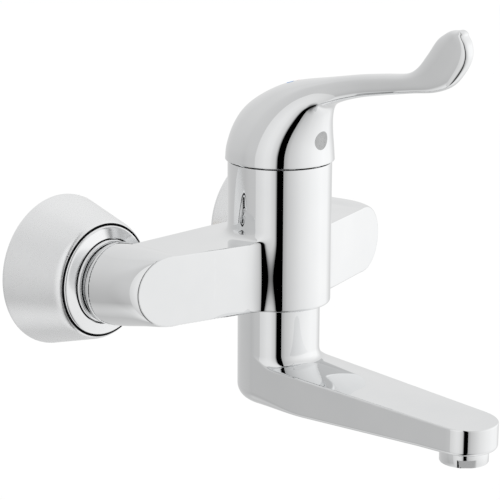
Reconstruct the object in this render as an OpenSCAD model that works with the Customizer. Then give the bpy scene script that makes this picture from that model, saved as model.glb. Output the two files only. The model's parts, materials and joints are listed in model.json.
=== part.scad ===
// Wall-mounted single-lever basin mixer: long elbow lever, swivel spout below,
// two eccentric wall unions under conical rosettes.
// Millimetres, +Z up. The wall is the plane y = 0 and the tap stands out to -Y.
// The origin lies on the wall, midway between the two wall threads.

/* [Wall side] */
// Distance between the hot and cold wall connections
inlet_pitch = 150; // [148:0.5:152]
// Height of the arms' middle above the wall threads
union_offset = 12; // [11.5:0.1:13]
// How far the inlet axis lies below the arms' middle
inlet_drop = 1.9; // [1.5:0.1:2.2]
// Outside diameter of the wall thread, G 1/2
wall_thread_d = 20.95; // [20.6:0.05:21.2]
// Length of the wall thread
wall_thread_len = 18; // [12:1:24]
// Outside diameter of the union thread, G 3/4
union_thread_d = 26.4; // [26:0.1:26.4]
// Diameter of the rosette where it meets the wall
rosette_d = 77.4; // [76:0.2:82]
// Depth of the rosette's cone
rosette_len = 31.9; // [30:0.1:33]

/* [Body] */
// Distance from the wall to the column's axis
column_y = 83; // [80:0.5:88]
// Diameter of the column
column_d = 52.8; // [52.4:0.1:54]
// Top of the column above the arms' middle
column_top = 55.4; // [55:0.1:55.5]
// Top of the arms above their middle
arm_top = 18; // [17.6:0.1:18.4]
// Underside of the arms below their middle
arm_low = 17.3; // [17:0.1:17.5]
// Distance from the wall to the arm's front face in front of the inlet axis
arm_front = 78.5; // [77:0.1:79.5]
// Forward sweep of the arm's front face towards the column
arm_sweep = 0.27; // [0.2:0.005:0.28]
// Distance from the wall to the bosses' back faces
boss_back = 43.2; // [43.2:0.1:43.6]
// Radius of the boss at its back face
boss_r = 21; // [20.5:0.1:21.4]

/* [Lever] */
// Diameter of the lever dome's lower edge
dome_d = 55.4; // [55:0.1:56.5]
// Lower edge of the dome above the arms' middle
dome_base = 56.2; // [56.1:0.1:57]
// Height of the lift pivot above the arms' middle
pivot_z = 48; // [47.8:0.1:48.2]
// Distance from the pivot down to the stem's ball
ball_drop = 13; // [12.8:0.1:13]
// Diameter of the plug over the set screw
plug_d = 9.4; // [9:0.1:9.5]
// Height of the set screw above the arms' middle
screw_z = 69; // [68.5:0.5:69.5]

/* [Spout] */
// Diameter of the spout's neck
neck_d = 42.2; // [41:0.2:44]
// Distance from the column's axis to the outlet
spout_reach = 120; // [110:1:140]
// Radius of the spout's nose
nose_r = 16.1; // [15.5:0.1:17]
// Underside of the spout's nose below the arms' middle
spout_low = 67.7; // [66:0.1:68]
// How much lower the underside lies at the neck than at the nose
spout_heel = 2.5; // [0.5:0.1:3]
// Fall of the spout's top face per millimetre of reach
spout_fall = 0.055; // [0.03:0.005:0.055]
// Swivel either side of straight ahead, in degrees
spout_swing = 75; // [30:5:80]
// Outside diameter of the aerator
aerator_d = 23.9; // [23.5:0.1:24]

/* [Hidden] */
$fn = 64;

px = inlet_pitch / 2;
Rc = column_d / 2;
inlet_z = union_offset - inlet_drop;
column_low = -17.6;
neck_top = column_low - 0.5;
chamber_r = 23.2;
chamber_z = 14;
port_x = 9;
port_y = -10;
// The disc rests behind the axis, and passes it as the lever lifts
disc_y = 2.75;
lever_swing = 50;
Rn = neck_d / 2;
spout_top = -47.3;
tip_r = 2;
stop_r = 13;

chrome = [0.80, 0.81, 0.82];
brass = [0.78, 0.62, 0.33];
steel = [0.62, 0.63, 0.65];
rubber = [0.10, 0.10, 0.11];
white_plastic = [0.88, 0.88, 0.85];
grey_plastic = [0.45, 0.46, 0.47];
ceramic = [0.93, 0.91, 0.86];

// ---- helpers ----

// The mixer's own axes: x across, y from the wall, z from the arms' middle
module at_arms() translate([0, 0, union_offset]) children();
// The column's axes: y measured from the column's axis
module at_column() translate([0, -column_y, union_offset]) children();
// One inlet: side is -1 or 1, the axis runs out of the wall as local +Z
module at_side(side) translate([side * px, 0, inlet_z]) rotate([90, 0, 0]) children();
// A straight round bar from point a to point b
module bar(a, b, r) {
  d = b - a;
  len = norm(d);
  translate(a) rotate([0, acos(d[2] / len), atan2(d[1], d[0])]) cylinder(r = r, h = len);
}
// A ring from radius r0 to r1 and from height z0 to z1
module ring(r0, r1, z0, z1) translate([0, 0, z0]) difference() {
  cylinder(r = r1, h = z1 - z0);
  translate([0, 0, -1]) cylinder(r = r0, h = z1 - z0 + 2);
}
// A hexagon nut blank by its width across flats
module hex(af, h) cylinder(d = af / cos(30), h = h, $fn = 6);
// A piece of ring either side of +Y, half_angle each way
module sector(r0, r1, z0, z1, half_angle)
  translate([0, 0, z0]) rotate([0, 0, 90 - half_angle])
    rotate_extrude(angle = 2 * half_angle) translate([r0, 0]) square([r1 - r0, z1 - z0]);
// Points of a quadratic curve through a and c, pulled towards b
function curve(a, b, c, n) = [for (i = [0:n]) let (t = i / n)
  (1 - t) * (1 - t) * a + 2 * t * (1 - t) * b + t * t * c];

// ---- wall side ----

module s_union(side) color(brass) at_side(side) difference() {
  union() {
    // wall thread and its shoulder, below the inlet axis
    translate([0, -inlet_z, -wall_thread_len]) cylinder(d = wall_thread_d, h = wall_thread_len + 1);
    translate([0, -inlet_z, 0.3]) cylinder(r = 12.5, h = 9.7);
    // union end, on the inlet axis
    translate([0, 0, 3]) cylinder(r = 12.9, h = 12);
    translate([0, 0, 14]) cylinder(d = union_thread_d, h = 14);
  }
  translate([0, -inlet_z, -wall_thread_len - 1]) cylinder(r = 7.5, h = wall_thread_len + 9);
  translate([0, 0, 5]) cylinder(r = 9.5, h = 24);
}
module s_union_left() s_union(-1);
module s_union_right() s_union(1);

module union_nut(side) color(chrome) at_side(side) difference() {
  union() {
    translate([0, 0, 16]) hex(32, 12.6);
    translate([0, 0, 28.5]) cylinder(r = 19, h = 12);
    translate([0, 0, 40.3]) cylinder(r = boss_r, h = boss_back - 0.25 - 40.3);
  }
  translate([0, 0, 15]) cylinder(d = union_thread_d + 0.2, h = 18.2);
  translate([0, 0, 32]) cylinder(r = 10.6, h = 13);
}
module union_nut_left() union_nut(-1);
module union_nut_right() union_nut(1);

module inlet_tail(side) color(brass) at_side(side) difference() {
  union() {
    translate([0, 0, 30.05]) cylinder(r = 12.9, h = 2.95);
    translate([0, 0, 32]) cylinder(r = 10.4, h = 24);
  }
  translate([0, 0, 30]) cylinder(r = 7.6, h = 27);
}
module inlet_tail_left() inlet_tail(-1);
module inlet_tail_right() inlet_tail(1);

module inlet_washers() color(rubber) for (side = [-1, 1])
  at_side(side) ring(8, 12.6, 28.05, 30);

module inlet_strainers() color(steel) for (side = [-1, 1]) at_side(side) {
  ring(6.6, 7.5, 30.3, 36);
  translate([0, 0, 35]) difference() {
    cylinder(r = 6.8, h = 1);
    for (i = [-2:2], j = [-2:2]) let (x = 2.4 * (i + j / 2), y = 2.08 * j)
      if (norm([x, y]) < 5.2)
        translate([x, y, -1]) rotate(30) cylinder(r = 1, h = 3, $fn = 6);
  }
}

// The rosette as a pressed shell: cone, crease, rounded mouth
module rosette(side) color(chrome) at_side(side)
  rotate_extrude($fn = 96) polygon(concat(
    [[rosette_d / 2, 0], [rosette_d / 2, 0.8]],
    [[30.0, rosette_len], [29.5, rosette_len + 0.3]],
    curve([29.3, rosette_len + 0.5], [27.4, rosette_len + 4.6], [21.4, rosette_len + 3.8], 8),
    [[21.4, rosette_len + 2.0]],
    curve([24.0, rosette_len + 2.4], [26.9, rosette_len + 2.2], [28.2, rosette_len - 0.6], 5),
    [[rosette_d / 2 - 1.5, 0]]
  ));
module rosette_left() rosette(-1);
module rosette_right() rosette(1);

// The sleeve that lines the rosette's mouth, with a flange behind it
module rosette_insert(side) color(chrome) at_side(side)
  rotate_extrude($fn = 96) polygon(concat(
    [[19.7, 30.5], [23.6, 30.5], [23.6, rosette_len + 1.7], [21.2, rosette_len + 1.7]],
    curve([21.2, rosette_len + 3.5], [20.9, rosette_len + 5.2], [19.7, rosette_len + 5.2], 5)
  ));
module rosette_insert_left() rosette_insert(-1);
module rosette_insert_right() rosette_insert(1);

// ---- mixer body ----

// Plan of the arms or bosses: straight back, front swept forward to the column
module arm_plan(back) {
  e = px + 24;
  polygon([[-e, -back], [e, -back], [e, -arm_front + arm_sweep * (e - px)],
    [0, -arm_front - arm_sweep * px], [-e, -arm_front + arm_sweep * (e - px)]]);
}
// One boss: it narrows and rises from its back face to the arm's front face
face_r = (arm_top + arm_low) / 2;
face_rise = inlet_drop + (arm_top - arm_low) / 2;
boss_taper = (boss_r - face_r) / (arm_front - boss_back);
module boss() translate([0, 0, boss_back]) rotate([-atan2(face_rise, arm_front - boss_back), 0, 0])
  translate([0, 0, -3]) cylinder(r1 = boss_r + 3 * boss_taper, r2 = face_r - 6 * boss_taper,
    h = arm_front - boss_back + 9, $fn = 96);

module mixer_body() color(chrome) difference() {
  union() {
    // column, its lower edge rounded and its upper edge bevelled
    at_column() rotate_extrude($fn = 128) {
      translate([0, column_low]) square([Rc - 1.6, 10]);
      translate([Rc - 1.6, column_low + 1.6]) circle(r = 1.6);
      polygon([[0, column_low + 1.6], [Rc, column_low + 1.6], [Rc, column_top - 0.8],
        [Rc - 0.8, column_top], [0, column_top]]);
    }
    at_arms() intersection() {
      translate([0, 0, -arm_low]) linear_extrude(arm_low + arm_top) arm_plan(44);
      translate([-px, -130, -30]) cube([2 * px, 130, 60]);
    }
    for (s = [-1, 1]) intersection() {
      at_side(s) boss();
      at_arms() translate([0, 0, -30]) linear_extrude(60) arm_plan(boss_back);
    }
  }
  // cartridge chamber and the thread over it
  at_column() translate([0, 0, chamber_z]) cylinder(r = chamber_r, h = 60);
  at_column() translate([0, 0, 45.4]) cylinder(r = 24.05, h = 30);
  // ports in the chamber floor, and holes for the locating pegs
  at_column() {
    for (s = [-1, 1]) {
      translate([s * port_x, 0, 8]) cylinder(r = 4, h = 8);
      translate([s * 15, 12, chamber_z - 3]) cylinder(r = 1.95, h = 5);
    }
    translate([0, port_y, -1]) cylinder(r = 4.5, h = 18);
  }
  // waterways from the bosses to the ports
  for (s = [-1, 1]) {
    at_side(s) translate([0, 0, boss_back - 1]) cylinder(r = 10.45, h = 17);
    at_side(s) translate([0, 0, boss_back]) cylinder(r = 8, h = 25.4);
    at_arms() bar([s * 71, -62, -inlet_drop], [s * port_x, -column_y, 8], 4.5);
  }
  // spout socket, glide ring seat and the retaining screw's thread
  at_column() {
    translate([0, 0, column_low - 1]) cylinder(r = 15.05, h = -column_low + 1);
    translate([0, 0, column_low - 1]) cylinder(r = 18, h = 4);
    translate([0, 14, -8]) rotate([-90, 0, 0]) cylinder(r = 3.05, h = 40);
  }
}

// ---- cartridge ----

module ports(r, h) {
  for (s = [-1, 1]) translate([s * port_x, 0, 0]) cylinder(r = r, h = h);
  translate([0, port_y, 0]) cylinder(r = r, h = h);
}

module port_seals() color(rubber) at_column() {
  for (s = [-1, 1]) translate([s * port_x, 0, 0]) ring(4.3, 5.8, chamber_z + 0.02, chamber_z + 1.5);
  translate([0, port_y, 0]) ring(4.6, 5.8, chamber_z + 0.02, chamber_z + 1.5);
}

module cartridge_base() color(white_plastic) at_column() difference() {
  union() {
    translate([0, 0, chamber_z + 0.05]) cylinder(r = 22.9, h = 7.95);
    for (s = [-1, 1]) translate([s * 15, 12, chamber_z - 2.5]) cylinder(r = 1.8, h = 4);
  }
  translate([0, 0, chamber_z - 0.5]) ports(5.9, 2.05);
  translate([0, 0, chamber_z]) ports(3.9, 12);
}

module fixed_disc() color(ceramic) at_column() difference() {
  translate([0, 0, 22.02]) cylinder(r = 17.5, h = 3.98);
  translate([0, 0, 20]) ports(3.8, 10);
}

// The mixing pocket under this disc joins the ports as the lever lifts
module moving_disc() color(ceramic) at_column() translate([0, disc_y, 0]) difference() {
  translate([0, 0, 26.05]) cylinder(r = 12.5, h = 3.95);
  translate([0, -1.5, 25]) cylinder(r = 7, h = 3.5);
}

module disc_carrier() color(white_plastic) at_column() difference() {
  translate([0, disc_y, 0]) union() {
    translate([0, 0, 30.02]) cylinder(r = 13.5, h = 7.98);
    ring(12.6, 13.5, 27, 30.5);
  }
  translate([0, 0, 31.2]) cylinder(r = 3.85, h = 10);
}

module cartridge_housing() color(white_plastic) at_column() difference() {
  translate([0, 0, 22.05]) cylinder(r = 22.9, h = 23.45);
  translate([0, 0, 21]) cylinder(r = 18, h = 20.3);
  translate([0, 0, 30]) cylinder(r = 13.05, h = 20);
}

module stem_carrier() color(grey_plastic) at_column() difference() {
  union() {
    translate([0, 0, 38.4]) cylinder(r = 17.6, h = 2.6);
    translate([0, 0, 40]) cylinder(r = 13, h = 12.5);
    // lug that meets the ends of the limiter ring's gap
    sector(12, 15.4, 46, 48.3, 8);
  }
  translate([-4.15, -10, 30]) cube([8.3, 18, 30]);
  translate([-20, 0, pivot_z]) rotate([0, 90, 0]) cylinder(r = 2.02, h = 40);
}

module stem_pin() color(steel) at_column()
  translate([-12, 0, pivot_z]) rotate([0, 90, 0]) cylinder(r = tip_r, h = 24);

module limiter_ring() color(rubber) at_column() difference() {
  ring(13.4, 17.5, 45.6, 48.5);
  sector(13, 15.7, 45, 49, lever_swing + 8.8);
}

module retaining_nut() color(brass) at_column() difference() {
  ring(18, 24, 45.6, 53.5);
  for (a = [0:60:300]) rotate([0, 0, a]) translate([-2, 20.5, 50.5]) cube([4, 5, 5]);
}

module lever_stem() color(steel) at_column() difference() {
  union() {
    translate([-4, -4, 43.5]) cube([8, 8, 26.5]);
    translate([0, 0, pivot_z - ball_drop]) cylinder(r = 2.5, h = 9);
    translate([0, 0, pivot_z - ball_drop]) sphere(r = 3.5);
  }
  translate([-10, 0, pivot_z]) rotate([0, 90, 0]) cylinder(r = 2.05, h = 20);
}

// ---- lever ----

// Each station: lower edge [y, z], upper edge [y, z], half width, squareness.
// Heights are above the dome's lower edge.
Rd = dome_d / 2;
stations = [
  [-Rd, 0, Rd, 0, Rd, 2],
  [-27.4, 7.8, 27.0, 7.6, 26.8, 2],
  [-27.7, 15.6, 23.4, 19.8, 23.9, 2],
  [-29.2, 22.4, 16.2, 29.2, 19.5, 2],
  [-30.5, 27.9, -1.5, 38.3, 15.2, 2.1],
  [-32.8, 31.1, -13.2, 42.0, 12.1, 2.4],
  [-39.2, 33.6, -30.8, 44.5, 7.7, 3],
  [-49.5, 37.0, -47, 47.9, 5.4, 2.8],
  [-66.2, 40.1, -65.5, 50.3, 4.6, 3],
  [-84, 43.1, -80, 52.1, 4.4, 3],
  [-97.5, 45.1, -87, 55.6, 4.2, 3],
  [-107, 49.2, -92.9, 62.6, 4.2, 3],
  [-113.6, 56.5, -98.0, 69.6, 4.2, 3],
  [-116.6, 63.2, -102.2, 72.9, 4.1, 3],
  [-116.0, 68.9, -106.2, 74.9, 3.9, 3],
  [-113.6, 72.7, -110.0, 75.2, 3.2, 2.5]
];
ns = len(stations);
function station(i) = i < 0 ? 2 * stations[0] - stations[1]
  : i >= ns ? 2 * stations[ns - 1] - stations[ns - 2] : stations[i];
// Smooth blend from station i to the next, t from 0 to 1
function blend(i, t) = let (a = station(i - 1), b = station(i), c = station(i + 1), d = station(i + 2))
  0.5 * (2 * b + (c - a) * t + (2 * a - 5 * b + 4 * c - d) * t * t + (3 * b - a - 3 * c + d) * t * t * t);
function pw(v, p) = sign(v) * pow(abs(v), p);
lever_sides = 36;
lever_steps = 3;
sections = concat([for (i = [0:ns - 2], j = [0:lever_steps - 1]) blend(i, j / lever_steps)], [stations[ns - 1]]);
function section_points(s) = let (p = 2 / s[5]) [for (k = [0:lever_sides - 1])
  let (a = 360 * k / lever_sides, h = pw(cos(a), p), w = pw(sin(a), p))
  [s[4] * w, (s[0] + s[2]) / 2 + (s[2] - s[0]) / 2 * h, dome_base + (s[1] + s[3]) / 2 + (s[3] - s[1]) / 2 * h]];

module lever_skin() {
  m = len(sections);
  n = lever_sides;
  tip = [0, -112.5, dome_base + 75.0];
  pts = concat([for (s = sections) each section_points(s)], [[0, 0, dome_base], tip]);
  polyhedron(pts, concat(
    [for (i = [0:m - 2], k = [0:n - 1]) let (a = i * n + k, b = i * n + (k + 1) % n) [a, b, b + n]],
    [for (i = [0:m - 2], k = [0:n - 1]) let (a = i * n + k, b = i * n + (k + 1) % n) [a, b + n, a + n]],
    [for (k = [0:n - 1]) [m * n, (k + 1) % n, k]],
    [for (k = [0:n - 1]) [m * n + 1, (m - 1) * n + k, (m - 1) * n + (k + 1) % n]]
  ));
}

// Tilt of the ridge where the marks sit
mark_y = -9.5;
mark_z = dome_base + 41;
module at_mark(side) translate([side * 2.6, mark_y, mark_z]) rotate([12, side * 9, 0]) children();

module lever() color(chrome) at_column() difference() {
  union() {
    difference() {
      lever_skin();
      // hollow of the dome, clear of the column at full lift
      rotate_extrude() polygon([[0, dome_base - 1], [26.8, dome_base - 1], [26.8, dome_base + 0.8],
        [24.4, dome_base + 7.8], [22.2, dome_base + 12.3], [18.5, dome_base + 16.3],
        [12, dome_base + 18.8], [0, dome_base + 19.3]]);
    }
    // socket for the stem, and the rib that carries the set screw
    translate([0, 0, 61]) cylinder(r = 8.5, h = 17);
    translate([-6.5, -24.5, screw_z - 6]) cube([13, 20, 14]);
  }
  translate([-4.05, -4.05, 60]) cube([8.1, 8.1, 10.3]);
  translate([0, 0, screw_z]) rotate([90, 0, 0]) cylinder(r = 3.05, h = 30);
  translate([0, -22, screw_z]) rotate([90, 0, 0]) cylinder(d = plug_d + 0.1, h = 10);
  for (s = [-1, 1]) at_mark(s) translate([0, 0, -1.6]) cylinder(r = 2.05, h = 5);
}

module lever_set_screw() color(steel) at_column() translate([0, -4.1, screw_z]) rotate([90, 0, 0]) difference() {
  cylinder(r = 3, h = 11);
  translate([0, 0, 7]) cylinder(d = 3 / cos(30), h = 5, $fn = 6);
}

module screw_plug() color(grey_plastic) at_column() translate([0, -22.1, screw_z])
  rotate([90, 0, 0]) cylinder(d = plug_d, h = 4.8);

module mark() { translate([0, 0, -1.55]) cylinder(r = 2, h = 1.65); }
module cold_mark() color([0.10, 0.35, 0.80]) at_column() at_mark(-1) mark();
module hot_mark() color([0.80, 0.10, 0.10]) at_column() at_mark(1) mark();

// ---- spout ----

// Plan of the spout's arm: straight sides touching the neck and the nose
module spout_plan() {
  s = (Rn - nose_r) / spout_reach;
  c = sqrt(1 - s * s);
  polygon([[-Rn * c, -Rn * s], [Rn * c, -Rn * s],
    [nose_r * c, -spout_reach - nose_r * s], [-nose_r * c, -spout_reach - nose_r * s]]);
  translate([0, -spout_reach]) circle(r = nose_r, $fn = 96);
}

// Side view of the spout's arm: the underside rises from the neck, and is level at the nose
heel_low = spout_low + spout_heel;
module spout_side() polygon([[2, -heel_low], [0, -heel_low], [-104, -spout_low], [-160, -spout_low],
  [-160, spout_top - 160 * spout_fall], [2, spout_top + 2 * spout_fall]]);

module spout() color(chrome) at_column() difference() {
  union() {
    // neck, its lower edge well rounded
    rotate_extrude($fn = 96) {
      translate([0, -heel_low]) square([Rn - 8, 20]);
      translate([Rn - 8, -heel_low + 8]) circle(r = 8, $fn = 96);
      translate([0, -heel_low + 8]) square([Rn, neck_top + heel_low - 8]);
    }
    // arm
    intersection() {
      translate([0, 0, -heel_low]) linear_extrude(40) spout_plan();
      rotate([90, 0, 90]) translate([0, 0, -40]) linear_extrude(80) spout_side();
    }
    // nipple that turns in the body
    translate([0, 0, neck_top - 1]) cylinder(r = 15, h = -neck_top + 0.4);
  }
  // grooves for the rings, and the groove that stops the swivel
  ring(13.2, 16, -4, -1.2);
  ring(13.2, 16, -14, -11.2);
  sector(stop_r, 16, -10.4, -5.6, spout_swing + asin((tip_r + 0.2) / 13.3));
  // waterway
  translate([0, 0, -58]) cylinder(r = 8, h = 70);
  bar([0, 4, -56.5], [0, -spout_reach, -61], 4.6);
  // aerator socket
  translate([0, -spout_reach, -spout_low - 1]) cylinder(r = 11, h = 10.2);
}

module spout_o_rings() color(rubber) at_column() for (z = [-2.6, -12.6])
  rotate_extrude() translate([14.12, z]) circle(r = 0.9, $fn = 32);

module spout_glide_ring() color(white_plastic) at_column()
  ring(15.1, 17.9, column_low + 0.1, column_low + 2.95);

module spout_retaining_screw() color(steel) at_column() translate([0, 0, -8]) rotate([-90, 0, 0]) difference() {
  union() {
    translate([0, 0, 13.3]) cylinder(r = tip_r, h = 3);
    translate([0, 0, 16]) cylinder(r = 3, h = 10);
  }
  translate([0, 0, 22]) cylinder(d = 3 / cos(30), h = 5, $fn = 6);
}

// The flats face half left and half right of straight ahead
module aerator_housing() color(chrome) at_column() translate([0, -spout_reach, 0]) difference() {
  union() {
    translate([0, 0, -spout_low - 7.1]) cylinder(d = aerator_d, h = 7);
    translate([0, 0, -spout_low - 1]) cylinder(r = 10.95, h = 8.6);
  }
  translate([0, 0, -spout_low - 8]) cylinder(r = 9.4, h = 20);
  rotate([0, 0, -47]) for (s = [-1, 1])
    translate([-15, s * 16 - 5, -spout_low - 8]) cube([30, 10, 4.9]);
}

module aerator_insert() color(grey_plastic) at_column() translate([0, -spout_reach, -spout_low]) {
  ring(8.2, 9.3, -6.2, 7);
  translate([0, 0, -6.2]) difference() {
    cylinder(r = 8.5, h = 2.5);
    for (i = [-3:3], j = [-3:3]) let (x = 2.6 * (i + j / 2), y = 2.252 * j)
      if (norm([x, y]) < 7)
        translate([x, y, -1]) rotate(30) cylinder(r = 1.15, h = 5, $fn = 6);
  }
}

module aerator_washer() color(rubber) at_column() translate([0, -spout_reach, 0])
  ring(6.5, 10.8, -spout_low + 7.7, -spout_low + 9.15);

s_union_left();
s_union_right();
union_nut_left();
union_nut_right();
inlet_tail_left();
inlet_tail_right();
inlet_washers();
inlet_strainers();
rosette_left();
rosette_right();
rosette_insert_left();
rosette_insert_right();
mixer_body();
port_seals();
cartridge_base();
fixed_disc();
moving_disc();
disc_carrier();
cartridge_housing();
stem_carrier();
stem_pin();
limiter_ring();
retaining_nut();
lever_stem();
lever();
lever_set_screw();
screw_plug();
cold_mark();
hot_mark();
spout();
spout_o_rings();
spout_glide_ring();
spout_retaining_screw();
aerator_housing();
aerator_insert();
aerator_washer();
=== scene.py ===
import json
import math

import bpy
import numpy as np
from mathutils import Matrix, Vector
from mathutils.bvhtree import BVHTree


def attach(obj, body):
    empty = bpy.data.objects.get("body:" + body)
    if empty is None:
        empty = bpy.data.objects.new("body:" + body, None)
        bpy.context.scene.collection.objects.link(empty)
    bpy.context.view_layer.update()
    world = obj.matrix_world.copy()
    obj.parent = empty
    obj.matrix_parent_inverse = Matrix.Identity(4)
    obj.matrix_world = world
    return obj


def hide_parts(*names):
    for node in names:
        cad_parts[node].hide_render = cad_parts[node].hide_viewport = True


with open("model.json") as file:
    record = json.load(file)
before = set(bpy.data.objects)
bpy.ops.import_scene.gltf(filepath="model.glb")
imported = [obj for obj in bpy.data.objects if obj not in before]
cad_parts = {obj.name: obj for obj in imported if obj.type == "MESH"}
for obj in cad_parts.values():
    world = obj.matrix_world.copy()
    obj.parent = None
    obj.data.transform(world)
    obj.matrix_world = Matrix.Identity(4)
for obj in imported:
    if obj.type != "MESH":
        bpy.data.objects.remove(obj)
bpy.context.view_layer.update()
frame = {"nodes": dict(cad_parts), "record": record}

scene = bpy.context.scene

# All shapes below are worked out in millimetres and become metres in make().
# x runs across, y out of the wall (the column's axis is at y = -83), and z is
# measured from the middle of the arms, which lies 12 mm above the row's origin.
# The inlet axes lie a little lower than the middle of the arms.
MM = 0.001
COL_Y = -83.0
ARM_Z = 12.0
DROP = 1.9
PITCH = 75.0


# ------------------------------------------------------------------ mesh tools

def make(name, verts, faces, normals=None, sharp=None, body=None, node=None, slot=None, mat=None):
    """A mesh piece from points in mm, riding on a body and standing for a CAD node."""
    verts = np.asarray(verts, float) * MM
    me = bpy.data.meshes.new(name)
    me.from_pydata(verts.tolist(), [], faces if isinstance(faces, list) else faces.tolist())
    me.polygons.foreach_set("use_smooth", np.ones(len(me.polygons), bool))
    me.update()
    if normals is not None:
        me.normals_split_custom_set_from_vertices(normals.tolist())
    elif sharp is not None:
        me.set_sharp_from_angle(angle=math.radians(sharp))
    ob = bpy.data.objects.new(name, me)
    scene.collection.objects.link(ob)
    if mat is not None:
        for m in mat if isinstance(mat, list) else [mat]:
            me.materials.append(m)
    if body:
        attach(ob, body)
    if node:
        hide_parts(node)
    return ob


def loft(rings, closed=False, start=None, end=None):
    """Quads between rings of equal length; start and end are poles that close the ends."""
    n, m = len(rings[0]), len(rings)
    verts = [np.asarray(r, float) for r in rings]
    faces = []
    for i in range(m if closed else m - 1):
        a, b = i * n, (i + 1) % m * n
        faces += [[a + k, a + (k + 1) % n, b + (k + 1) % n, b + k] for k in range(n)]
    count = n * m
    for pole, ring, turn in ((start, 0, 1), (end, (m - 1) * n, 0)):
        if pole is not None:
            verts.append(np.asarray(pole, float)[None])
            for k in range(n):
                a, b = ring + k, ring + (k + 1) % n
                faces.append([count, b, a] if turn else [count, a, b])
            count += 1
    return np.concatenate(verts), faces


def merged(*parts):
    """Several (verts, faces) as one."""
    verts, faces, at = [], [], 0
    for v, f in parts:
        verts.append(np.asarray(v, float))
        faces += [[i + at for i in q] for q in f]
        at += len(v)
    return np.concatenate(verts), faces


def rounded(points, radii, seg=5):
    """A closed outline with its corners rounded to the given radii."""
    out, n = [], len(points)
    pts = [np.array(p, float) for p in points]
    for i, p in enumerate(pts):
        r = radii[i]
        if r <= 0:
            out.append(p)
            continue
        u, v = pts[i - 1] - p, pts[(i + 1) % n] - p
        u, v = u / np.linalg.norm(u), v / np.linalg.norm(v)
        half = math.acos(max(-1, min(1, float(u @ v)))) / 2
        c = p + (u + v) / np.linalg.norm(u + v) * r / math.sin(half)
        a, b = p + u * r / math.tan(half) - c, p + v * r / math.tan(half) - c
        w = math.acos(max(-1, min(1, float(a @ b) / r / r)))
        for j in range(seg + 1):
            t = j / seg
            out.append(c + (math.sin((1 - t) * w) * a + math.sin(t * w) * b) / math.sin(w))
    return out


def bend(a, b, c, n):
    """Points of a quadratic curve through a and c, pulled towards b."""
    a, b, c = (np.array(p, float) for p in (a, b, c))
    return [(1 - t) ** 2 * a + 2 * t * (1 - t) * b + t * t * c for t in np.linspace(0, 1, n + 1)]


def circle(r, n=128):
    """n points round a circle; r may be one number or one per point."""
    a = np.arange(n) * 2 * math.pi / n
    return np.stack([r * np.cos(a), r * np.sin(a)], 1)


def at_side(side, xy, d):
    """Points (x, y) round an inlet's axis at distance d from the wall."""
    return np.stack([side * PITCH + xy[:, 0], np.full(len(xy), -d), ARM_Z - DROP + xy[:, 1]], 1)


def turned(side, outline, n=160):
    """A closed outline of (radius, distance from the wall) turned round an inlet's axis."""
    return loft([at_side(side, circle(r, n), d) for r, d in outline], closed=True)


def on_column(x, y, z):
    """Points given from the column's axis and the middle of the arms."""
    return np.stack([x, y + COL_Y, z + ARM_Z], -1)


def outward(part):
    """Turns the faces of a closed piece so that they look outward."""
    v, f = part
    total = 0.0
    for q in f:
        for j in range(1, len(q) - 1):
            total += float(np.dot(v[q[0]], np.cross(v[q[j]], v[q[j + 1]])))
    return (v, [q[::-1] for q in f]) if total < 0 else (v, f)


# ------------------------------------------------------- shapes by their distance

def ir(a, b, r):
    """Intersection of two shapes with a rounded edge."""
    return np.minimum(np.maximum(a, b), -r) + np.hypot(np.maximum(a + r, 0), np.maximum(b + r, 0))


def blend(a, b, k):
    """Union of two shapes with a soft hollow fillet."""
    h = np.maximum(k - np.abs(a - b), 0) / k
    return np.minimum(a, b) - h * h * k * 0.25


def soft_union(a, b, k):
    """Union of two shapes with a hollow fillet that runs out gently."""
    h = np.maximum(k - np.abs(a - b), 0) / k
    return np.minimum(a, b) - h * h * h * k / 6


def step(a, b, x):
    t = np.clip((x - a) / (b - a), 0, 1)
    return t * t * (3 - 2 * t)


def rod(p, a, b, r):
    a, b = np.array(a, p.dtype), np.array(b, p.dtype)
    d = b - a
    t = np.clip(((p - a) @ d) / (d @ d), 0, 1)
    return np.linalg.norm(p - a - t[:, None] * d, axis=1) - r


ARM_FRONT, ARM_SWEEP = 78.5, 0.27
ARM_TOP, ARM_LOW = 18.0, 17.3
ARM_MID, ARM_HALF = 0.35, 17.65
FACE_EDGE = 0.45
BOSS_BACK = 43.2


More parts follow.
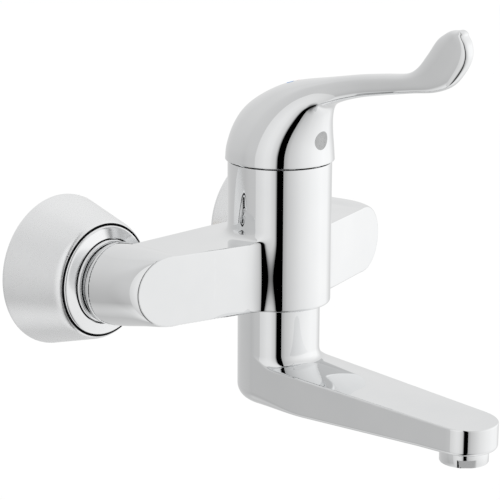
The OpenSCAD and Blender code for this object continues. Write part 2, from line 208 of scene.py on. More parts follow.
def body_shape(p):
    """The mixer body: column, swept arms, inlet bosses, and what is bored in them."""
    x, y, z = np.abs(p[:, 0]), p[:, 1], p[:, 2]
    yc = y - COL_Y
    rho = np.hypot(x, yc)
    column = ir(rho - 26.4, z - 55.4, 0.45)
    front = (-ARM_FRONT - ARM_SWEEP * (PITCH - x) - y) / math.sqrt(1 + ARM_SWEEP**2)
    back = y + 44.0
    # near the column the fillet runs straight down to the level underside
    endless = ir(ir(np.maximum(z, ARM_MID) - ARM_TOP, front, FACE_EDGE), back, 4.0)
    under = -ARM_LOW - 0.3 * (1 - step(26, 50, x)) - z
    # the arm's face leaves the column in a hollow fillet that tightens towards top and underside
    hollow = 11.0 - 2.6 * np.minimum(((z - ARM_MID) / ARM_HALF) ** 2, 1.0)
    middle = ir(soft_union(column, 1.3 * endless, hollow), under, 1.5 - 1.0 * step(28, 46, x))
    # the boss widens and sinks from the face towards the wall
    t = np.maximum(-front, 0)
    boss_r = 17.65 + 0.135 * t - 0.00105 * t * t
    boss_x = 75.8 - 2.1 * np.exp(-t / 2.8) - 0.8 * step(8, 30, t)
    boss_z = ARM_MID - (DROP + ARM_MID) * step(5, 34, t)
    boss = np.hypot(x - boss_x, z - boss_z) - boss_r
    bar = np.maximum(np.abs(z - ARM_MID) - ARM_HALF, x - 73.7)
    bar = ir(bar, back, 4.0)
    boss = ir(boss, y + BOSS_BACK, 0.2)
    arm = ir(blend(bar, boss, 0.6), front, FACE_EDGE)
    d = np.where(x < 50, middle, arm)
    # cartridge chamber, ports and peg holes
    d = ir(d, -np.maximum(rho - 24.05, 45.4 - z), 0.3)
    d = np.maximum(d, -np.maximum(rho - 23.2, 14.0 - z))
    port = np.maximum(np.hypot(x - 9, yc) - 4, np.maximum(8 - z, z - 16))
    out = np.maximum(np.hypot(x, yc + 10) - 4.5, np.maximum(-1 - z, z - 17))
    peg = np.maximum(np.hypot(x - 15, yc - 12) - 1.95, np.maximum(11 - z, z - 16))
    # waterways, spout socket, glide ring seat, retaining screw
    inlet = np.maximum(np.hypot(x - PITCH, z + DROP) - 10.45, -59.2 - y)
    inner = np.maximum(np.hypot(x - PITCH, z + DROP) - 8.0, -68.6 - y)
    q = np.stack([x, y, z], 1)
    way = rod(q, (71, -62, -DROP), (9, -83, 8), 4.5)
    socket = np.maximum(rho - 15.05, z)
    seat = np.maximum(rho - 18.0, z + 14.6)
    screw = np.maximum(np.hypot(x, z + 8) - 3.05, 14.0 - yc)
    for hole in (port, out, peg, inner, way, socket):
        d = np.maximum(d, -hole)
    for hole in (inlet, seat, screw):
        d = ir(d, -hole, 0.3)
    return d


NECK_R, NOSE_R, REACH = 21.1, 16.1, 120.0


def spout_shape(p):
    """The spout: neck, tapering arm with a sloping top, nipple, and what is bored in it."""
    x, yc, z = np.abs(p[:, 0]), p[:, 1] - COL_Y, p[:, 2]
    rho = np.hypot(x, yc)
    neck = rho - NECK_R
    # plan of neck and arm together: two circles and their tangents
    b = (NECK_R - NOSE_R) / REACH
    a = math.sqrt(1 - b * b)
    k = -x * b - yc * a
    plan = np.where(k < 0, neck, np.where(k > a * REACH, np.hypot(x, yc + REACH) - NOSE_R, x * a - yc * b - NECK_R))
    # the sloping top is crowned across, least at the nose
    wide = NECK_R + (NECK_R - NOSE_R) / REACH * yc
    crown = np.maximum(wide * wide - x * x, 0) / 170.0 * (0.3 + 0.7 * step(-118, -45, yc))
    top = (z + 47.3 - 0.055 * yc - crown) * 0.9985
    upper = blend(neck, top, 5.0)
    edge = 0.02 + 0.75 * step(0.1, 2.5, neck - plan)
    d = ir(plan, upper, edge)
    # the underside rises from the neck, and is level at the nose
    low = -67.7 - 2.5 * np.clip((yc + 104.0) / 104.0, 0, 1)
    d = ir(d, low - z, 2.2 + 6.3 * step(-34, 6, yc))
    d = ir(d, z + 18.1, 0.5)
    d = np.minimum(d, np.maximum(rho - 15.0, np.maximum(z + 0.7, -20.0 - z)))
    for zc in (-2.6, -12.6):
        d = np.maximum(d, -np.maximum(13.2 - rho, np.abs(z - zc) - 1.4))
    swing = math.radians(84.5)
    groove = np.maximum(13.0 - rho, np.maximum(np.abs(z + 8) - 2.4, x * math.cos(swing) - yc * math.sin(swing)))
    d = np.maximum(d, -groove)
    bore = np.maximum(rho - 8.0, -58.0 - z)
    q = np.stack([x, yc, z], 1)
    way = rod(q, (0, 4, -56.5), (0, -REACH, -61.0), 4.6)
    socket = np.maximum(np.hypot(x, yc + REACH) - 11.0, z + 58.5)
    for hole in (bore, way, socket):
        d = np.maximum(d, -hole)
    return d


def gradient(f, p, e=0.02):
    g = np.empty_like(p)
    for i in range(3):
        d = np.zeros(3)
        d[i] = e
        g[:, i] = (f(p + d) - f(p - d)) / (2 * e)
    return g


def settle(f, p, rounds=4, most=0.4):
    """Moves points onto the surface f = 0."""
    for _ in range(rounds):
        g = gradient(f, p)
        v = f(p) / np.maximum((g * g).sum(1), 0.05)
        p = p - np.clip(v, -most, most)[:, None] * g
    return p


def skin(f, lo, hi, h):
    """The surface f = 0 in a box as quads, one point per cell that it crosses. The shape is even in x, and lo[0] is -hi[0]."""
    nx = int(math.ceil(hi[0] / h))
    xs = np.arange(-nx, nx + 1) * h
    ys = np.arange(lo[1], hi[1] + h, h)
    zs = np.arange(lo[2], hi[2] + h, h)
    half = np.empty((nx + 1, len(ys), len(zs)), np.float32)
    yy, zz = np.meshgrid(ys.astype(np.float32), zs.astype(np.float32), indexing="ij")
    plane = np.stack([np.zeros_like(yy), yy, zz], -1).reshape(-1, 3)
    for i in range(nx + 1):
        plane[:, 0] = i * h
        half[i] = f(plane).reshape(yy.shape)
    v = np.concatenate([half[:0:-1], half])
    s = v < 0
    c = [(i, j, k) for i in (0, 1) for j in (0, 1) for k in (0, 1)]
    nX, nY, nZ = (n - 1 for n in v.shape)
    part = lambda arr, o: arr[o[0]:o[0] + nX, o[1]:o[1] + nY, o[2]:o[2] + nZ]
    inside = sum(part(s, o).astype(np.int8) for o in c)
    cells = np.argwhere((inside > 0) & (inside < 8))
    index = np.full((nX, nY, nZ), -1, np.int32)
    index[cells[:, 0], cells[:, 1], cells[:, 2]] = np.arange(len(cells))
    total, count = np.zeros((len(cells), 3)), np.zeros(len(cells))
    at = lambda o: v[cells[:, 0] + o[0], cells[:, 1] + o[1], cells[:, 2] + o[2]].astype(float)
    for o in c:
        for axis in range(3):
            if o[axis] == 0:
                e = list(o)
                e[axis] = 1
                a, b = at(o), at(e)
                cut = (a < 0) != (b < 0)
                t = np.where(cut, a / np.where(cut, a - b, 1), 0)
                place = np.array(o, float)[None].repeat(len(cells), 0)
                place[:, axis] += t
                total += place * cut[:, None]
                count += cut
    origin = np.array([xs[0], ys[0], zs[0]])
    verts = (cells + total / count[:, None]) * h + origin
    quads = []
    for axis in range(3):
        u, w = (axis + 1) % 3, (axis + 2) % 3
        a = [slice(None)] * 3
        b = [slice(None)] * 3
        a[axis], b[axis] = slice(0, -1), slice(1, None)
        change = np.argwhere(s[tuple(a)] != s[tuple(b)])
        keep = (change[:, u] > 0) & (change[:, w] > 0) & (change[:, u] < v.shape[u] - 1) & (change[:, w] < v.shape[w] - 1)
        change = change[keep]
        corner = []
        for du, dw in ((1, 1), (0, 1), (0, 0), (1, 0)):
            cell = change.copy()
            cell[:, u] -= du
            cell[:, w] -= dw
            corner.append(index[cell[:, 0], cell[:, 1], cell[:, 2]])
        q = np.stack(corner, 1)
        flip = ~s[change[:, 0], change[:, 1], change[:, 2]]
        q[flip] = q[flip][:, ::-1]
        quads.append(q)
    return verts, np.concatenate(quads)


def carved(name, f, lo, hi, h, keep, **about):
    """A piece from a distance shape: skinned finely, thinned where it is flat, then settled on the true surface."""
    verts, quads = skin(f, lo, hi, h)
    verts = settle(f, verts)
    me = bpy.data.meshes.new("raw")
    me.from_pydata(verts.tolist(), [], quads.tolist())
    ob = bpy.data.objects.new("raw", me)
    scene.collection.objects.link(ob)
    thin = ob.modifiers.new("thin", "DECIMATE")
    thin.ratio = keep
    dg = bpy.context.evaluated_depsgraph_get()
    done = ob.evaluated_get(dg).to_mesh()
    v = np.empty(len(done.vertices) * 3)
    done.vertices.foreach_get("co", v)
    v = v.reshape(-1, 3)
    done.calc_loop_triangles()
    t = np.empty(len(done.loop_triangles) * 3, np.int32)
    done.loop_triangles.foreach_get("vertices", t)
    t = t.reshape(-1, 3)
    bpy.data.objects.remove(ob)
    bpy.data.meshes.remove(me)
    v = settle(f, v, 3, 0.15)
    n = gradient(f, v)
    n /= np.maximum(np.linalg.norm(n, axis=1), 1e-9)[:, None]
    return make(name, v + np.array([0, 0, ARM_Z]), t, normals=n, **about)


# ------------------------------------------------------------------- materials

def nodes_of(mat):
    mat.use_nodes = True
    nt = mat.node_tree
    nt.nodes.clear()
    return nt, nt.nodes.new


def metal(name, dark, light, rough, bump=0.05, grain=900.0, lines=None, seed=0.0):
    """A metal with cloudy colour and gloss, fine grain, and where asked turning lines along one axis."""
    mat = bpy.data.materials.new(name)
    nt, new = nodes_of(mat)
    link = nt.links.new
    out, bsdf = new("ShaderNodeOutputMaterial"), new("ShaderNodeBsdfPrincipled")
    link(bsdf.outputs["BSDF"], out.inputs["Surface"])
    bsdf.inputs["Metallic"].default_value = 1.0
    co = new("ShaderNodeTexCoord")
    cloud = new("ShaderNodeTexNoise")
    cloud.noise_dimensions = "4D"
    cloud.inputs["W"].default_value = seed
    cloud.inputs["Scale"].default_value = 45.0
    cloud.inputs["Detail"].default_value = 4.0
    link(co.outputs["Object"], cloud.inputs["Vector"])
    tint = new("ShaderNodeValToRGB")
    tint.color_ramp.elements[0].position, tint.color_ramp.elements[1].position = 0.3, 0.7
    tint.color_ramp.elements[0].color, tint.color_ramp.elements[1].color = (*dark, 1), (*light, 1)
    link(cloud.outputs["Fac"], tint.inputs["Fac"])
    link(tint.outputs["Color"], bsdf.inputs["Base Color"])
    smear = new("ShaderNodeTexNoise")
    smear.inputs["Scale"].default_value = 140.0
    smear.inputs["Detail"].default_value = 6.0
    smear.inputs["Roughness"].default_value = 0.65
    link(co.outputs["Object"], smear.inputs["Vector"])
    gloss = new("ShaderNodeMapRange")
    gloss.inputs["From Min"].default_value, gloss.inputs["From Max"].default_value = 0.3, 0.75
    gloss.inputs["To Min"].default_value, gloss.inputs["To Max"].default_value = rough
    link(smear.outputs["Fac"], gloss.inputs["Value"])
    link(gloss.outputs["Result"], bsdf.inputs["Roughness"])
    fine = new("ShaderNodeTexNoise")
    fine.inputs["Scale"].default_value = grain
    fine.inputs["Detail"].default_value = 3.0
    link(co.outputs["Object"], fine.inputs["Vector"])
    height = fine.outputs["Fac"]
    if lines:
        wave = new("ShaderNodeTexWave")
        wave.wave_type = "BANDS"
        wave.bands_direction = lines
        wave.inputs["Scale"].default_value = 260.0
        wave.inputs["Distortion"].default_value = 1.5
        link(co.outputs["Object"], wave.inputs["Vector"])
        both = new("ShaderNodeMath")
        both.operation = "ADD"
        link(fine.outputs["Fac"], both.inputs[0])
        link(wave.outputs["Fac"], both.inputs[1])
        height = both.outputs["Value"]
    rise = new("ShaderNodeBump")
    rise.inputs["Strength"].default_value = bump
    rise.inputs["Distance"].default_value = 0.00002
    link(height, rise.inputs["Height"])
    link(rise.outputs["Normal"], bsdf.inputs["Normal"])
    return mat


def moulded(name, dark, light, rough, bump=0.3, grain=1400.0, specular=0.5):
    """A plastic, rubber or ceramic with mottled colour and a fine moulded or lapped grain."""
    mat = bpy.data.materials.new(name)
    nt, new = nodes_of(mat)
    link = nt.links.new
    out, bsdf = new("ShaderNodeOutputMaterial"), new("ShaderNodeBsdfPrincipled")
    link(bsdf.outputs["BSDF"], out.inputs["Surface"])
    bsdf.inputs["Specular IOR Level"].default_value = specular
    co = new("ShaderNodeTexCoord")
    cloud = new("ShaderNodeTexNoise")
    cloud.inputs["Scale"].default_value = 220.0
    cloud.inputs["Detail"].default_value = 5.0
    link(co.outputs["Object"], cloud.inputs["Vector"])
    tint = new("ShaderNodeValToRGB")
    tint.color_ramp.elements[0].position, tint.color_ramp.elements[1].position = 0.3, 0.7
    tint.color_ramp.elements[0].color, tint.color_ramp.elements[1].color = (*dark, 1), (*light, 1)
    link(cloud.outputs["Fac"], tint.inputs["Fac"])
    link(tint.outputs["Color"], bsdf.inputs["Base Color"])
    fine = new("ShaderNodeTexNoise")
    fine.inputs["Scale"].default_value = grain
    fine.inputs["Detail"].default_value = 4.0
    link(co.outputs["Object"], fine.inputs["Vector"])
    gloss = new("ShaderNodeMapRange")
    gloss.inputs["From Min"].default_value, gloss.inputs["From Max"].default_value = 0.3, 0.7
    gloss.inputs["To Min"].default_value, gloss.inputs["To Max"].default_value = rough
    link(fine.outputs["Fac"], gloss.inputs["Value"])
    link(gloss.outputs["Result"], bsdf.inputs["Roughness"])
    rise = new("ShaderNodeBump")
    rise.inputs["Strength"].default_value = bump
    rise.inputs["Distance"].default_value = 0.00005
    link(fine.outputs["Fac"], rise.inputs["Height"])
    link(rise.outputs["Normal"], bsdf.inputs["Normal"])
    return mat


CHROME_D, CHROME_L = (0.800, 0.808, 0.814), (0.826, 0.832, 0.836)
chrome_body = metal("chrome_body", CHROME_D, CHROME_L, (0.006, 0.022), bump=0.006, seed=1.0)
chrome_lever = metal("chrome_lever", CHROME_D, CHROME_L, (0.006, 0.022), bump=0.006, seed=2.0)
chrome_spout = metal("chrome_spout", CHROME_D, CHROME_L, (0.006, 0.022), bump=0.006, seed=3.0)
chrome_sheet = metal("chrome_sheet", (0.88, 0.886, 0.892), (0.905, 0.91, 0.914), (0.24, 0.32), bump=0.03, seed=4.0)
chrome_mouth = metal("chrome_mouth", (0.83, 0.836, 0.842), (0.855, 0.86, 0.864), (0.11, 0.16), bump=0.01, seed=9.0)
chrome_nut = metal("chrome_nut", (0.77, 0.78, 0.785), (0.80, 0.805, 0.81), (0.03, 0.08), bump=0.04, seed=5.0)
chrome_aerator = metal("chrome_aerator", (0.78, 0.79, 0.795), (0.81, 0.815, 0.82), (0.02, 0.06), bump=0.03, seed=6.0)
brass = metal("brass", (0.66, 0.47, 0.20), (0.80, 0.62, 0.32), (0.16, 0.36), bump=0.25, lines="Y", seed=7.0)
steel = metal("steel", (0.50, 0.51, 0.53), (0.64, 0.65, 0.67), (0.18, 0.34), bump=0.2, lines="Z", seed=8.0)
rubber = moulded("rubber", (0.018, 0.018, 0.020), (0.045, 0.045, 0.048), (0.55, 0.8), bump=0.5)
white_plastic = moulded("white_plastic", (0.78, 0.78, 0.74), (0.88, 0.88, 0.85), (0.35, 0.5))
grey_plastic = moulded("grey_plastic", (0.34, 0.35, 0.36), (0.44, 0.45, 0.46), (0.4, 0.55))
plug_grey = moulded("plug_grey", (0.40, 0.405, 0.405), (0.47, 0.475, 0.475), (0.45, 0.6), specular=0.3)
ceramic = moulded("ceramic", (0.86, 0.84, 0.78), (0.93, 0.91, 0.86), (0.12, 0.22), bump=0.1)
mark_blue = moulded("mark_blue", (0.05, 0.25, 0.62), (0.08, 0.34, 0.78), (0.12, 0.2), bump=0.1)
mark_red = moulded("mark_red", (0.60, 0.04, 0.04), (0.75, 0.07, 0.07), (0.12, 0.2), bump=0.1)
# painted shade: a near-black finish laid on the faces of the rosette's crease and of the gap round the sleeve, where
# shade falls
gap_painted_shade = moulded("gap_painted_shade", (0.006, 0.006, 0.007), (0.014, 0.014, 0.015), (0.6, 0.8), specular=0.0)

FINISH = {
    "chrome_body": chrome_body, "chrome_lever": chrome_lever, "chrome_spout": chrome_spout,
    "chrome_sheet": chrome_sheet, "chrome_nut": chrome_nut, "chrome_aerator": chrome_aerator,
    "brass": brass, "steel": steel, "rubber": rubber, "white_plastic": white_plastic,
    "grey_plastic": grey_plastic, "plug_grey": plug_grey, "ceramic": ceramic,
    "mark_blue": mark_blue, "mark_red": mark_red,
}
# the hidden pieces keep their CAD shape and take their slot's finish
for sub in frame["record"]["subparts"]:
    ob = frame["nodes"].get(sub["node"])
    if ob is not None:
        ob.data.materials.clear()
        ob.data.materials.append(FINISH[sub["material_slot"]])

# ---------------------------------------------------------------- body and spout

carved("body_casting", body_shape, (-97.5, -111.0, -24.5), (97.5, -41.5, 57.0), 0.55, 0.40,
       body="mixer", node="mixer_body", slot="chrome_body", mat=chrome_body)
# the column's rim is turned, and lies flush on the casting
rim = [(24.4, 47.0), (26.41, 47.0)] + [(26.41, z) for z in np.linspace(48, 54.4, 5)]
rim += [(25.96 + 0.45 * math.cos(t), 54.97 + 0.45 * math.sin(t)) for t in np.radians([0, 20, 40, 60, 80, 90])] + [(24.4, 55.42)]
rim_rings = [on_column(*circle(r, 240).T, np.full(240, z)) for r, z in rim]
make("column_rim", *outward(loft(rim_rings, closed=True)), sharp=50, body="mixer", node="mixer_body", slot="chrome_body", mat=chrome_body)
carved("spout_casting", spout_shape, (-22.5, -220.0, -71.5), (22.5, -60.5, 0.8), 0.5, 0.5,
       body="spout", node="spout", slot="chrome_spout", mat=chrome_spout)

# ------------------------------------------------------------------------- lever

DOME = 56.2
RD = 27.7
STATIONS = np.array([
    [-RD, 0, RD, 0, RD, 2],
    [-27.4, 7.8, 27.0, 7.6, 26.8, 2],
    [-27.7, 15.6, 23.4, 19.8, 23.9, 2],
    [-29.2, 22.4, 16.2, 29.2, 19.5, 2],
    [-30.5, 27.9, -1.5, 38.3, 15.2, 2.1],
    [-32.8, 31.1, -13.2, 42.0, 12.1, 2.4],
    [-39.2, 33.6, -30.8, 44.5, 7.7, 3],
    [-49.5, 37.0, -47, 47.9, 5.4, 2.8],
    [-66.2, 40.1, -65.5, 50.3, 4.6, 3],
    [-84, 43.1, -80, 52.1, 4.4, 3],
    [-97.5, 45.1, -87, 55.6, 4.2, 3],
    [-107, 49.2, -92.9, 62.6, 4.2, 3],
    [-113.6, 56.5, -98.0, 69.6, 4.2, 3],
    [-116.6, 63.2, -102.2, 72.9, 4.1, 3],
    [-116.0, 68.9, -106.2, 74.9, 3.9, 3],
    [-113.6, 72.7, -110.0, 75.2, 3.2, 2.5],
])


def along(i, t):
    """The lever's section at t from station i towards the next."""
    n = len(STATIONS)
    get = lambda j: 2 * STATIONS[0] - STATIONS[1] if j < 0 else (
        2 * STATIONS[n - 1] - STATIONS[n - 2] if j >= n else STATIONS[j])
    a, b, c, d = (get(i + j) for j in (-1, 0, 1, 2))
    return 0.5 * (2 * b + (c - a) * t + (2 * a - 5 * b + 4 * c - d) * t**2 + (3 * b - a - 3 * c + d) * t**3)


def lever_mesh(n=144, steps=14):
    a = np.arange(n) * 2 * math.pi / n
    power = lambda v, p: np.sign(v) * np.abs(v) ** p

    def ring(s):
        h, w = power(np.cos(a), 2 / s[5]), power(np.sin(a), 2 / s[5])
        return np.stack([s[4] * w, (s[0] + s[2]) / 2 + (s[2] - s[0]) / 2 * h,
                         DOME + (s[1] + s[3]) / 2 + (s[3] - s[1]) / 2 * h], 1)

    def level(r, z):
        return np.stack([r * np.sin(a), r * np.cos(a), np.full(n, z)], 1)

    inside = [(3, 19.25), (7, 19.1), (12, 18.8), (15.5, 17.7), (18.5, 16.3), (20.6, 14.5), (22.2, 12.3),
              (23.5, 10.0), (24.4, 7.8), (25.6, 4.4), (26.6, 1.2), (26.75, 0.5)]
    rings = [level(r, DOME + z) for r, z in inside]
    lip = 0.4
    rings += [level(RD - lip + lip * math.sin(f), DOME + lip - lip * math.cos(f))
              for f in np.radians([-15, 0, 22, 45, 68, 85])]
    sections = np.array([along(i, j / steps) for i in range(len(STATIONS) - 1) for j in range(steps)] + [STATIONS[-1]])
    # the run from dome to arm is evened out, so that reflections flow along it
    reach = np.arange(-24, 25)
    weight = np.exp(-0.5 * (reach / 8.0) ** 2)
    at = np.clip(np.arange(len(sections))[:, None] + reach, 0, len(sections) - 1)
    even = (sections[at] * weight[None, :, None]).sum(1) / weight.sum()
    where = np.arange(len(sections)) / steps
    share = (step(0.6, 2.2, where) * (1 - step(6.6, 8.2, where)))[:, None]
    sections = sections * (1 - share) + even * share
    rings += [ring(s) for s in sections[3:]]
    last = rings[-1]
    mid = last.mean(0)
    rise = np.array([0, -112.6, DOME + 75.1]) - mid
    rings += [mid + (last - mid) * math.cos(f) + rise * math.sin(f) for f in np.radians([20, 40, 58, 74, 84])]
    shell = loft(rings, start=(0, 0, DOME + 19.3), end=mid + rise)
    # socket for the stem
    m = 64
    b = np.arange(m) * 2 * math.pi / m
    square = 4.05 / np.maximum(np.abs(np.cos(b)), np.abs(np.sin(b)))
    flat = lambda r, z: np.stack([r * np.cos(b), r * np.sin(b), np.full(m, z)], 1)
    boss = loft([flat(square, 70.3), flat(square, 61.4), flat(square + 0.4, 61.0), flat(8.1, 61.0), flat(8.5, 61.4), flat(8.5, 76.0)],
                start=(0, 0, 70.3), end=(0, 0, 76.0))
    # rib that carries the set screw
    edge = rounded([(-6.5, -24.3), (6.5, -24.3), (6.5, -7.5), (-6.5, -7.5)], [1.0] * 4, 4)
    plate = lambda z, g: np.array([(p[0] * g, -16 + (p[1] + 16) * g, z) for p in edge])
    rib = loft([plate(63.0, 0.96), plate(63.5, 1.0), plate(76.0, 1.0)], start=(0, -16, 63.0), end=(0, -16, 76.0))
    parts = [outward((v, f)) for v, f in (shell, boss, rib)]
    v, f = merged(*parts)
    return on_column(v[:, 0], v[:, 1], v[:, 2]), f, len(parts[0][0])


lever_v, lever_f, shell_n = lever_mesh()
lever = make("lever_casting", lever_v, lever_f, sharp=42, body="lever", node="lever", slot="chrome_lever", mat=chrome_lever)
tree = BVHTree.FromPolygons([Vector(p) for p in lever_v[:shell_n]], [f for f in lever_f if max(f) < shell_n])


def pressed_in(name, centre, normal, r, proud, deep, **about):
    """A round insert whose face follows the lever's surface and stands a little proud of it."""
    normal = Vector(normal).normalized()
    u = normal.orthogonal().normalized()
    w = normal.cross(u)
    n = 64

    def face(radius, lift):
        out = []
        for k in range(n):
            f = 2 * math.pi * k / n
            q = Vector(centre) + (u * math.cos(f) + w * math.sin(f)) * radius
            hit = tree.ray_cast(q + normal * 6, -normal, 14)[0]
            out.append((hit if hit else q) + normal * lift)
        return np.array(out)

    def back(radius):
        return np.array([Vector(centre) - normal * deep + (u * math.cos(2 * math.pi * k / n) + w * math.sin(2 * math.pi * k / n)) * radius
                         for k in range(n)])

    rings = [back(r * 0.94), back(r), face(r, proud * 0.15), face(r - 0.06, proud * 0.6), face(r - 0.2, proud * 0.93)]
    rings += [face(r * g, proud) for g in (0.9, 0.7, 0.45, 0.2)]
    end = tree.ray_cast(Vector(centre) + normal * 6, -normal, 14)[0] + normal * proud
    v, f = outward(loft(rings, start=Vector(centre) - normal * deep, end=end))
    return make(name, v, f, sharp=35, **about)


pressed_in("screw_plug_cap", (0, COL_Y - 26.9, ARM_Z + 69.0), (0, -1, 0.0), 4.7, 0.12, 4.6,
           body="lever", node="screw_plug", slot="plug_grey", mat=plug_grey)
for side, word, mat, slot in ((-1, "cold", mark_blue, "mark_blue"), (1, "hot", mark_red, "mark_red")):
    tilt = Matrix.Rotation(math.radians(12), 3, "X") @ Matrix.Rotation(math.radians(side * 9), 3, "Y")
    pressed_in(word + "_mark_dot", (side * 3.2, COL_Y - 9.5, ARM_Z + DOME + 41.0), tilt @ Vector((0, 0, 1)), 2.0, 0.1, 1.5,
               body="lever", node=word + "_mark", slot=slot, mat=mat)

# --------------------------------------------------------------------- wall side

for side, word in ((-1, "left"), (1, "right")):
    # cone with a rounded shoulder, a crease, a flat mouth, hollow back; the crease and the mouth's inner wall are
    # painted near-black as shade
    n = 192
    outline = [np.array(p) for p in ((38.7, 0.0), (38.7, 0.8), (38.55, 1.3))]
    outline += [np.array((38.55 + (31.15 - 38.55) * t, 1.3 + (28.8 - 1.3) * t)) for t in np.linspace(0.05, 1.0, 16)]
    outline += bend((31.04, 29.2), (30.25, 32.1), (28.9, 33.1), 10)
    crease = [len(outline) - 1]
    outline += [np.array(p) for p in ((28.8, 32.0), (27.85, 32.0), (27.75, 33.55))]
    crease.append(len(outline) - 1)
    outline += bend((27.7, 33.65), (27.4, 34.4), (26.4, 34.6), 6)
    outline += [np.array((26.4 + (21.9 - 26.4) * t, 34.6 + (35.7 - 34.6) * t)) for t in (0.25, 0.5, 0.75, 1.0)]
    outline.append(np.array((21.65, 35.6)))
    inner = [len(outline) - 1]
    outline.append(np.array((21.6, 33.9)))
    inner.append(len(outline) - 1)
    outline += bend((24.0, 34.3), (26.9, 34.1), (28.2, 31.3), 8)
    outline += [np.array((37.2, 0.0))]
    v, f = turned(side, outline, n)
    rosette = make("rosette_shell_" + word, *outward((v, f)), sharp=32, body="rosette_" + word, node="rosette_" + word,
                   slot="chrome_sheet", mat=[chrome_sheet, gap_painted_shade, chrome_mouth])
    # the crease's faces and the mouth's inner wall take the painted shade, the ring between them the glossier mouth
    # finish
    which = np.zeros(len(f), np.int32)
    which[crease[1] * n:inner[0] * n] = 2
    for a, b in (crease, inner):
        which[a * n:b * n] = 1
    rosette.data.polygons.foreach_set("material_index", which)

    outline = [np.array(p) for p in ((19.4, 30.6), (23.5, 30.6), (23.6, 30.7), (23.6, 33.5), (21.15, 33.6), (21.1, 36.0))]
    outline += bend((21.05, 36.1), (20.9, 37.2), (20.1, 37.2), 12)
    outline += [np.array(p) for p in ((19.7, 37.12), (19.46, 36.9), (19.4, 36.5))]
    v, f = turned(side, outline, n)
    sleeve = make("rosette_sleeve_" + word, *outward((v, f)), sharp=35, body="rosette_" + word,
                  node="rosette_insert_" + word, slot="chrome_sheet", mat=[chrome_mouth, gap_painted_shade])
    # painted shade: the sleeve's outer wall in the gap under the rosette's mouth takes the near-black finish
    which = np.zeros(len(f), np.int32)
    which[4 * n:5 * n] = 1
    sleeve.data.polygons.foreach_set("material_index", which)

    # union nut: spanner hexagon at the back, round sleeve and collar in front
    m = 192
    ang = np.arange(m) * 2 * math.pi / m
    hexr = 16.0 / np.cos((ang + math.pi / 6) % (math.pi / 3) - math.pi / 6)
    worn = np.minimum(hexr, 18.25)
    chamfered = np.minimum(hexr, 17.5)
    rings = [at_side(side, circle(13.4, m), 16.3), at_side(side, circle(chamfered - 0.25, m), 16.0),
             at_side(side, circle(chamfered, m), 16.2), at_side(side, circle(worn, m), 17.0),
             at_side(side, circle(worn, m), 28.3), at_side(side, circle(chamfered, m), 28.55),
             at_side(side, circle(19.0, m), 28.6), at_side(side, circle(19.0, m), 34.0),
             at_side(side, circle(19.0, m), 40.3), at_side(side, circle(20.6, m), 40.35),
             at_side(side, circle(20.82, m), 40.45), at_side(side, circle(20.95, m), 40.7),
             at_side(side, circle(21.0, m), 42.8), at_side(side, circle(20.95, m), 42.91),
             at_side(side, circle(20.85, m), 42.95), at_side(side, circle(10.8, m), 42.95),
             at_side(side, circle(10.6, m), 42.7), at_side(side, circle(10.6, m), 33.2),
             at_side(side, circle(13.3, m), 33.2)]
    make("union_nut_sleeve_" + word, *outward(loft(rings, closed=True)), sharp=30, body="mixer", node="union_nut_" + word,
         slot="chrome_nut", mat=chrome_nut)

# ----------------------------------------------------------------------- aerator

m = 192
ang = np.arange(m) * 2 * math.pi / m
face_at = math.radians(-47.0)
# the two flats look half left and half right of straight ahead
across = np.abs(np.cos(ang - (face_at - math.pi / 2)))
flat_r = lambda r: np.minimum(r, 11.0 / np.maximum(across, 1e-6))


def aerator_ring(r, z):
    xy = circle(r, m)
    return on_column(xy[:, 0], xy[:, 1] - REACH, np.full(m, z))


rings = [aerator_ring(9.4, -74.5), aerator_ring(9.7, -74.8), aerator_ring(flat_r(11.35), -74.8),
         aerator_ring(flat_r(11.7), -74.65), aerator_ring(flat_r(11.95), -74.2), aerator_ring(flat_r(11.95), -70.8),
         aerator_ring(np.full(m, 11.95), -70.8 + 0.001), aerator_ring(11.95, -68.3), aerator_ring(11.85, -67.95),
         aerator_ring(11.6, -67.8), aerator_ring(10.95, -67.8), aerator_ring(10.95, -60.3), aerator_ring(9.4, -60.1)]
make("aerator_shell", *outward(loft(rings, closed=True)), sharp=30, body="spout", node="aerator_housing",
     slot="chrome_aerator", mat=chrome_aerator)

# ------------------------------------------------------------------------- stage

FLOOR_Z = -1.15


def floor_material():
    mat = bpy.data.materials.new("studio_floor")
    nt, new = nodes_of(mat)
    out, bsdf = new("ShaderNodeOutputMaterial"), new("ShaderNodeBsdfPrincipled")
    nt.links.new(bsdf.outputs["BSDF"], out.inputs["Surface"])
    co, noise, tint = new("ShaderNodeTexCoord"), new("ShaderNodeTexNoise"), new("ShaderNodeValToRGB")
    noise.inputs["Scale"].default_value = 0.7
    nt.links.new(co.outputs["Object"], noise.inputs["Vector"])
    tint.color_ramp.elements[0].color, tint.color_ramp.elements[1].color = (0.895, 0.895, 0.895, 1), (0.905, 0.905, 0.905, 1)
    nt.links.new(noise.outputs["Fac"], tint.inputs["Fac"])
    nt.links.new(tint.outputs["Color"], bsdf.inputs["Base Color"])
    bsdf.inputs["Roughness"].default_value = 1.0
    bsdf.inputs["Specular IOR Level"].default_value = 0.0
    return mat


def floor_mesh(size=45.0, n=10):
    c = np.linspace(-size, size, n + 1)
    v = [(x, y, FLOOR_Z) for x in c for y in c]
    f = [[i * (n + 1) + j, (i + 1) * (n + 1) + j, (i + 1) * (n + 1) + j + 1, i * (n + 1) + j + 1] for i in range(n) for j in range(n)]
    me = bpy.data.meshes.new("floor")
    me.from_pydata(v, [], f)
    me.materials.append(floor_material())
    ob = bpy.data.objects.new("floor", me)
    scene.collection.objects.link(ob)
    ob.visible_glossy = False
    return ob


floor_mesh()

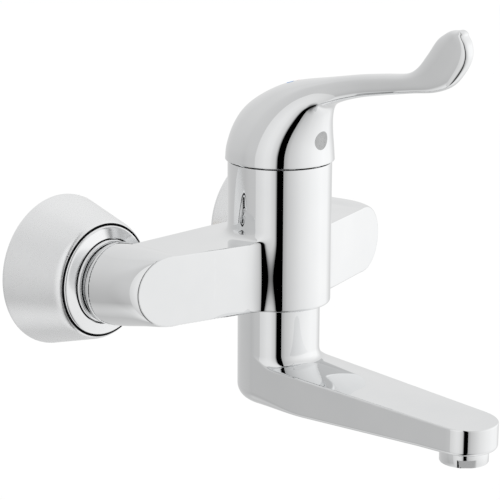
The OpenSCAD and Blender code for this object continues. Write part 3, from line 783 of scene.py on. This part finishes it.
# The studio round the tap: a soft box on either side of a narrow gap for the
# lens, a grey wall on the left and a paler one behind. It shows only in
# reflections. Each panel has stops of azimuth with its glow below, level with
# the tap and overhead, and the glow runs evenly from stop to stop.
HEIGHTS = (-55.0, -35.0, -10.0, 12.0, 50.0)
PANELS = [
    [(-180, (0.62, 0.60, 0.64, 0.72, 0.80)), (-140, (0.86, 0.53, 0.61, 0.68, 0.80)), (-130, (0.88, 0.50, 0.58, 0.66, 0.77)),
     (-118, (0.92, 0.55, 0.63, 0.68, 0.72)), (-102, (0.95, 0.58, 0.65, 0.69, 0.68))],
    [(-102, (0.73, 0.73, 0.78, 0.84, 0.92)), (-80, (0.80, 0.85, 0.91, 0.95, 0.95)), (-70, (0.40, 0.85, 0.89, 0.93, 0.95)),
     (-59, (0.00, 0.67, 0.71, 0.76, 0.85)), (-56.5, (0.00, 0.48, 0.50, 0.54, 0.60)), (-54, (0.00, 0.10, 0.10, 0.10, 0.10))],
    [(-54, (0.00, 0.0, 0.0, 0.0, 0.0)), (-40, (0.00, 0.0, 0.0, 0.0, 0.0))],
    [(-40, (0.00, 0.40, 0.45, 0.48, 0.50)), (-30, (0.12, 0.58, 0.68, 0.68, 0.62)), (0, (0.80, 0.82, 0.93, 0.93, 0.80)),
     (25, (0.92, 0.92, 1.07, 1.07, 0.86)), (55, (1.00, 1.00, 1.17, 1.17, 0.91)), (80, (0.99, 0.99, 1.14, 1.14, 0.91)),
     (106, (0.73, 0.73, 0.77, 0.82, 0.88)), (130, (0.68, 0.68, 0.75, 0.86, 0.89)), (180, (0.60, 0.60, 0.64, 0.72, 0.82))],
]


def cove():
    verts, faces, glow = [], [], []
    rows = np.array([-88, -70, -50, -35, -28, -22, -16, -10, -4, 1, 6, 12, 20, 28, 36, 44, 50, 58, 66, 74, 82, 90.0])
    for panel in PANELS:
        stops = [s[0] for s in panel]
        az = np.unique(np.concatenate([np.arange(stops[0], stops[-1], 4.0), stops]))
        cuts = len(az) - 1
        base = len(verts)
        at_heights = np.array([np.interp(az, stops, [s[1][k] for s in panel]) for k in range(len(HEIGHTS))])
        level = np.array([np.interp(rows, HEIGHTS, at_heights[:, j]) for j in range(cuts + 1)])
        for el in rows:
            for a in az:
                e, t = math.radians(el), math.radians(a)
                verts.append((4.0 * math.sin(t) * math.cos(e), -4.0 * math.cos(t) * math.cos(e) + COL_Y * MM, 4.0 * math.sin(e) + 0.03))
        for i in range(len(rows) - 1):
            for j in range(cuts):
                k = base + i * (cuts + 1) + j
                faces.append([k, k + 1, k + cuts + 2, k + cuts + 1])
                glow += [level[j, i], level[j + 1, i], level[j + 1, i + 1], level[j, i + 1]]
    me = bpy.data.meshes.new("studio_cove")
    me.from_pydata(verts, [], faces)
    me.update()
    col = me.color_attributes.new("glow", "FLOAT_COLOR", "CORNER")
    g = np.array(glow, np.float32)
    col.data.foreach_set("color", np.stack([g, g, g, np.ones_like(g)], 1).ravel())
    mat = bpy.data.materials.new("studio_glow")
    nt, new = nodes_of(mat)
    out, em, at = new("ShaderNodeOutputMaterial"), new("ShaderNodeEmission"), new("ShaderNodeVertexColor")
    at.layer_name = "glow"
    nt.links.new(at.outputs["Color"], em.inputs["Color"])
    nt.links.new(em.outputs["Emission"], out.inputs["Surface"])
    mat.cycles.emission_sampling = "NONE"
    me.materials.append(mat)
    ob = bpy.data.objects.new("studio_cove", me)
    scene.collection.objects.link(ob)
    ob.visible_camera = ob.visible_diffuse = ob.visible_shadow = False
    ob.visible_transmission = ob.visible_volume_scatter = False
    return ob


cove()

world = bpy.data.worlds.new("studio")
scene.world = world
world.use_nodes = True
world.node_tree.nodes["Background"].inputs["Color"].default_value = (1.0, 1.0, 1.0, 1)
world.node_tree.nodes["Background"].inputs["Strength"].default_value = 1.12
scene.view_settings.view_transform = "Standard"
scene.view_settings.look = "None"

# ------------------------------------------------------------------------ camera

az, el, roll = (math.radians(v) for v in (-47.38, 14.14, 0.25))
back = Vector((math.sin(az) * math.cos(el), -math.cos(az) * math.cos(el), math.sin(el)))
right = Vector((math.cos(az), math.sin(az), 0))
up = back.cross(right)
right, up = right * math.cos(roll) + up * math.sin(roll), up * math.cos(roll) - right * math.sin(roll)
place = Vector((0, -0.08312, 0.030)) + back * 1.0 + right * -0.0150 + up * -0.00913
data = bpy.data.cameras.new("camera")
data.sensor_width, data.lens = 36.0, 36.0 * 1963.92 / 500
data.clip_start, data.clip_end = 0.01, 200.0
camera = bpy.data.objects.new("camera", data)
scene.collection.objects.link(camera)
camera.matrix_world = Matrix.Translation(place) @ Matrix((right, up, back)).transposed().to_4x4()
scene.camera = camera

bpy.context.view_layer.update()
